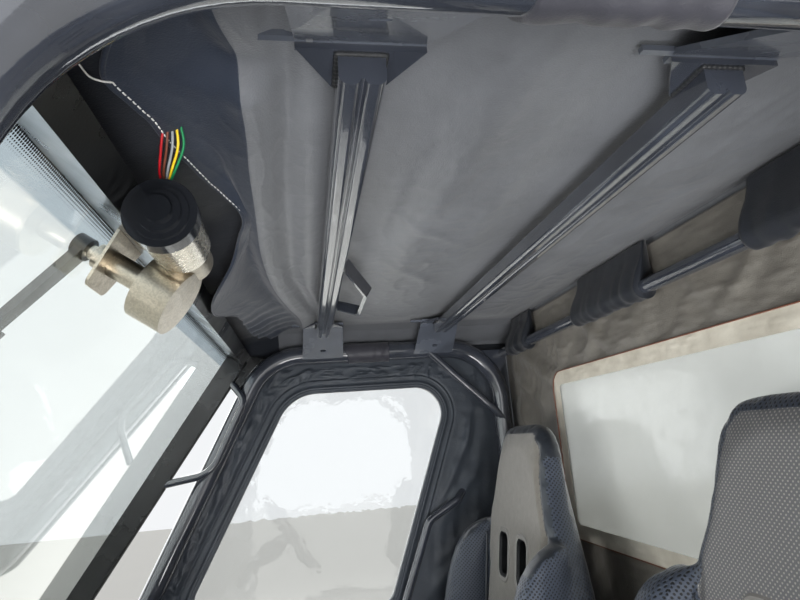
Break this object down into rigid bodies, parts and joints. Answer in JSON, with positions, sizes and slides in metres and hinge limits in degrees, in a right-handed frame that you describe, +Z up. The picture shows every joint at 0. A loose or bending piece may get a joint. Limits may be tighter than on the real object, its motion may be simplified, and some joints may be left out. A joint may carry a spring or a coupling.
{
  "type": "side by side utility vehicle cab",
  "caption": "Two-seat soft-top cab of a side by side utility vehicle: tube cage, raked windscreen, hinged doors, bucket seats, on a bolt-down base frame.",
  "frame": {"origin": "middle of the four chassis bolt holes, at the underside of the base frame", "axes": "+X forward, +Y to the vehicle's left, +Z up"},
  "size_m": [1.245, 2.4443, 1.408],
  "materials": {
    "cage_paint": "gloss black powder coat",
    "frame_paint": "satin black",
    "screen_frame_paint": "satin black",
    "sheet_paint": "textured black",
    "moulded_plastic": "moulded grain",
    "windscreen_glass": "laminated, dark printed edge",
    "motor_zinc": "zinc plated can, cast gear housing",
    "cap_plastic": "moulded",
    "lead_insulation": "coloured insulation",
    "wiper_paint": "satin black",
    "roof_vinyl": "coated cloth, soft folds",
    "clear_vinyl": "soft clear sheet, slightly milky",
    "window_strip": "wrinkled translucent strip",
    "door_vinyl": "coated cloth over a tube frame",
    "seat_vinyl": "grained vinyl with punched side panels",
    "bare_steel": "satin"
  },
  "bodies": {
    "root": {"bar_wraps": "roof_vinyl", "base_frame": "frame_paint", "dashboard": "moulded_plastic", "floor_pan": "sheet_paint", "front_bulkhead": "sheet_paint", "front_cross_member": "cage_paint", "hinge_lugs": "cage_paint", "hoop_left": "cage_paint", "hoop_right": "cage_paint", "member_brackets": "cage_paint", "pedals": "bare_steel", "rear_cross_member": "cage_paint", "rear_crossbar": "cage_paint", "rear_curtain": "roof_vinyl", "rear_panel": "sheet_paint", "rear_window": "clear_vinyl", "rear_window_strip": "window_strip", "roof_canopy": "roof_vinyl", "roof_grab_handle": "cage_paint", "seat_back_left": "seat_vinyl", "seat_back_right": "seat_vinyl", "seat_box": "moulded_plastic", "seat_cushion_left": "seat_vinyl", "seat_cushion_right": "seat_vinyl", "seat_rails": "frame_paint", "steering_column": "bare_steel", "windscreen_frame": "screen_frame_paint", "windscreen_glass": "windscreen_glass", "windscreen_handles": "cage_paint", "wiper_cap": "cap_plastic", "wiper_gear": "motor_zinc", "wiper_leads": "lead_insulation", "wiper_motor": "motor_zinc"},
    "left_door": {"door_skin_left": "door_vinyl", "door_window_left": "clear_vinyl", "door_rim_left": "moulded_plastic", "door_fittings_left": "cage_paint"},
    "right_door": {"door_skin_right": "door_vinyl", "door_window_right": "clear_vinyl", "door_rim_right": "moulded_plastic", "door_fittings_right": "cage_paint"},
    "wiper": {"wiper_arm": "wiper_paint", "wiper_blade": "wiper_paint"},
    "steering_wheel": {"steering_wheel": "moulded_plastic", "steering_shaft": "bare_steel"}
  },
  "joints": [
    {"name": "left_door_hinge", "type": "hinge", "parent": "root", "child": "left_door", "pos_m": [0.45, 0.712, 0.375], "axis": [0, 0, 1], "range_deg": [0, 85]},
    {"name": "right_door_hinge", "type": "hinge", "parent": "root", "child": "right_door", "pos_m": [0.45, -0.712, 0.375], "axis": [0, 0, 1], "range_deg": [0, 85]},
    {"name": "wiper_sweep", "type": "hinge", "parent": "root", "child": "wiper", "pos_m": [0.18212, 0.266, 1.30797], "axis": [0.8339, 0, 0.5519], "range_deg": [-72, 18]},
    {"name": "steering_turn", "type": "hinge", "parent": "root", "child": "steering_wheel", "pos_m": [0.07, 0.34, 0.74], "axis": [0.8192, 0, -0.5736], "range_deg": [-270, 270]}
  ]
}
